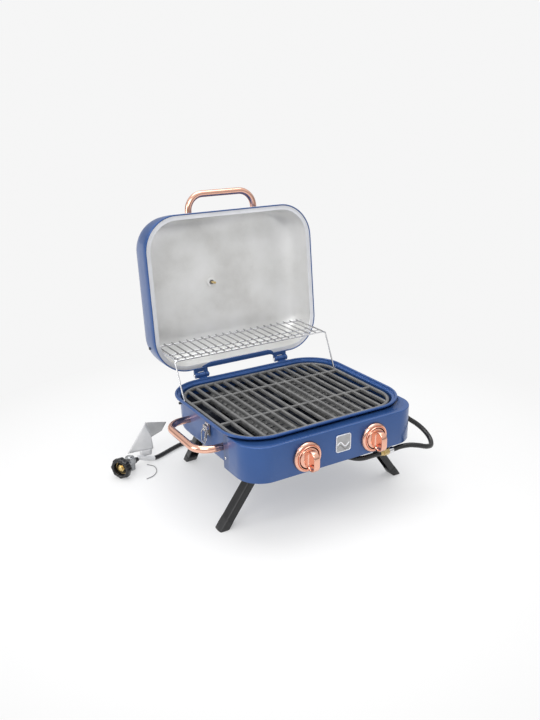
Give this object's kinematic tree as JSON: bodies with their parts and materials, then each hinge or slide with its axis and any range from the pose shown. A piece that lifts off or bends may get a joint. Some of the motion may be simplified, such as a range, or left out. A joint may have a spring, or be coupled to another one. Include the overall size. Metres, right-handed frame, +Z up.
{
  "type": "folding camp grill",
  "caption": "Table-top gas camp grill with a hinged lid, a rising warming rack, push-and-turn knobs, side carry handle, folding legs and a hose with regulator.",
  "frame": {"origin": "centre of the flat underside of the bowl", "axes": "+X to the right of someone facing the controls, +Y to the back where the lid is hinged, +Z up; millimetres in the source, lid open and legs down"},
  "size_m": [0.6267, 0.5791, 0.6509],
  "materials": {
    "blue_paint": "satin-gloss blue enamel",
    "copper_plate": "polished rose-copper plating",
    "chrome": "bright chrome",
    "aluminium": "bare, mottled",
    "cast_iron": "matte enamelled iron",
    "steel": "plain rolled steel",
    "brass": "turned brass",
    "black_paint": "satin black",
    "black_plastic": "moulded, fine grain",
    "rubber": "smooth extruded hose",
    "zinc": "die-cast zinc",
    "paper": "plain folded sheet"
  },
  "bodies": {
    "grill_body": {"firebox_bowl": "blue_paint", "control_housing": "blue_paint", "badge_plate": "steel", "carry_handle": "copper_plate", "gas_manifold": "brass", "front_leg_rail": "black_paint", "rear_leg_rail": "black_paint", "tray_carrier": "steel", "hose_inlet": "rubber", "hose_coupling": "brass", "hose_supply": "rubber", "regulator_body": "zinc", "instruction_tag": "paper", "tag_hook_wire": "steel", "housing_screw_left": "chrome", "housing_screw_right": "chrome", "knob_bezel_left": "copper_plate", "knob_bezel_right": "copper_plate", "burner_left": "steel", "burner_right": "steel", "heat_tent_left": "cast_iron", "heat_tent_right": "cast_iron", "hinge_bracket_left": "blue_paint", "hinge_bracket_right": "blue_paint", "hinge_pin_left": "chrome", "hinge_pin_right": "chrome", "latch_base_left": "chrome", "latch_base_right": "chrome"},
    "lid": {"lid_shell": "blue_paint", "lid_lining": "aluminium", "lid_handle": "copper_plate", "lid_rear_bar": "blue_paint", "hinge_leaf_left": "blue_paint", "hinge_leaf_right": "blue_paint", "thermometer_case": "copper_plate", "thermometer_nut": "chrome"},
    "gauge_needle": {"thermometer_needle": "black_plastic"},
    "rack": {"warming_rack": "chrome"},
    "rack_leg_l": {"rack_leg_left": "chrome"},
    "rack_leg_r": {"rack_leg_right": "chrome"},
    "stem_l": {"valve_stem_left": "brass"},
    "stem_r": {"valve_stem_right": "brass"},
    "knob_l": {"knob_left": "copper_plate"},
    "knob_r": {"knob_right": "copper_plate"},
    "lever_l": {"latch_lever_left": "chrome"},
    "lever_r": {"latch_lever_right": "chrome"},
    "bail_l": {"latch_bail_left": "chrome"},
    "bail_r": {"latch_bail_right": "chrome"},
    "grate": {"cooking_grate": "cast_iron"},
    "tray": {"grease_tray": "steel"},
    "handwheel": {"regulator_handwheel": "black_plastic"},
    "front_left_leg": {"leg_front_left": "black_paint", "foot_front_left": "black_plastic"},
    "front_right_leg": {"leg_front_right": "black_paint", "foot_front_right": "black_plastic"},
    "rear_left_leg": {"leg_rear_left": "black_paint", "foot_rear_left": "black_plastic"},
    "rear_right_leg": {"leg_rear_right": "black_paint", "foot_rear_right": "black_plastic"}
  },
  "joints": [
    {"name": "lid_hinge", "type": "hinge", "parent": "grill_body", "child": "lid", "pos_m": [0, 0.201, 0.09], "axis": [1, 0, 0], "range_deg": [0, 96.3]},
    {"name": "rack_hinge", "type": "hinge", "parent": "lid", "child": "rack", "pos_m": [0, 0.25703, 0.16098], "axis": [1, 0, 0], "range_deg": [-85, 0]},
    {"name": "rack_leg_l_hinge", "type": "hinge", "parent": "grill_body", "child": "rack_leg_l", "pos_m": [-0.2089, 0.098, 0.076], "axis": [1, 0, 0], "range_deg": [0, 93.5]},
    {"name": "rack_leg_r_hinge", "type": "hinge", "parent": "grill_body", "child": "rack_leg_r", "pos_m": [0.2089, 0.098, 0.076], "axis": [1, 0, 0], "range_deg": [0, 93.5]},
    {"name": "gauge_needle_turn", "type": "hinge", "parent": "lid", "child": "gauge_needle", "pos_m": [-0.024, 0.32173, 0.28594], "axis": [0, 0.994, -0.1097], "range_deg": [0, 270]},
    {"name": "grate_lift", "type": "slide", "parent": "grill_body", "child": "grate", "axis": [0, 0, 1], "range_m": [0, 0.025]},
    {"name": "tray_slide", "type": "slide", "parent": "grill_body", "child": "tray", "axis": [0, 1, 0], "range_m": [0, 0.15]},
    {"name": "handwheel_turn", "type": "hinge", "parent": "grill_body", "child": "handwheel", "pos_m": [-0.301, 0.231, -0.1067], "axis": [-0.8192, -0.5736, 0], "continuous": true},
    {"name": "stem_l_turn", "type": "hinge", "parent": "grill_body", "child": "stem_l", "pos_m": [-0.083, -0.211, 0.037], "axis": [0, -1, 0], "range_deg": [0, 210]},
    {"name": "knob_l_push", "type": "slide", "parent": "stem_l", "child": "knob_l", "axis": [0, 1, 0], "range_m": [0, 0.004]},
    {"name": "lever_l_swing", "type": "hinge", "parent": "grill_body", "child": "lever_l", "pos_m": [-0.2203, -0.029, 0.066], "axis": [0, 1, 0], "range_deg": [0, 70]},
    {"name": "bail_l_swing", "type": "hinge", "parent": "lever_l", "child": "bail_l", "pos_m": [-0.2229, -0.029, 0.06], "axis": [0, 1, 0], "range_deg": [0, 80]},
    {"name": "stem_r_turn", "type": "hinge", "parent": "grill_body", "child": "stem_r", "pos_m": [0.09, -0.211, 0.037], "axis": [0, -1, 0], "range_deg": [0, 210]},
    {"name": "knob_r_push", "type": "slide", "parent": "stem_r", "child": "knob_r", "axis": [0, 1, 0], "range_m": [0, 0.004]},
    {"name": "lever_r_swing", "type": "hinge", "parent": "grill_body", "child": "lever_r", "pos_m": [0.2203, -0.029, 0.066], "axis": [0, -1, 0], "range_deg": [0, 70]},
    {"name": "bail_r_swing", "type": "hinge", "parent": "lever_r", "child": "bail_r", "pos_m": [0.2229, -0.029, 0.06], "axis": [0, -1, 0], "range_deg": [0, 80]},
    {"name": "front_left_fold", "type": "hinge", "parent": "grill_body", "child": "front_left_leg", "pos_m": [-0.154, -0.117, -0.02], "axis": [0, -1, 0], "range_deg": [0, 125.8]},
    {"name": "rear_left_fold", "type": "hinge", "parent": "grill_body", "child": "rear_left_leg", "pos_m": [-0.151, 0.13, -0.02], "axis": [-1, 0, 0], "range_deg": [0, 125.8]},
    {"name": "front_right_fold", "type": "hinge", "parent": "grill_body", "child": "front_right_leg", "pos_m": [0.154, -0.117, -0.02], "axis": [0, 1, 0], "range_deg": [0, 125.8]},
    {"name": "rear_right_fold", "type": "hinge", "parent": "grill_body", "child": "rear_right_leg", "pos_m": [0.151, 0.13, -0.02], "axis": [-1, 0, 0], "range_deg": [0, 125.8]}
  ],
  "couplings": [
    {"joint": "rack_hinge", "follows": "lid_hinge", "ratio": -0.8776},
    {"joint": "rack_leg_l_hinge", "follows": "lid_hinge", "ratio": 0.9679},
    {"joint": "rack_leg_r_hinge", "follows": "lid_hinge", "ratio": 0.9679}
  ]
}
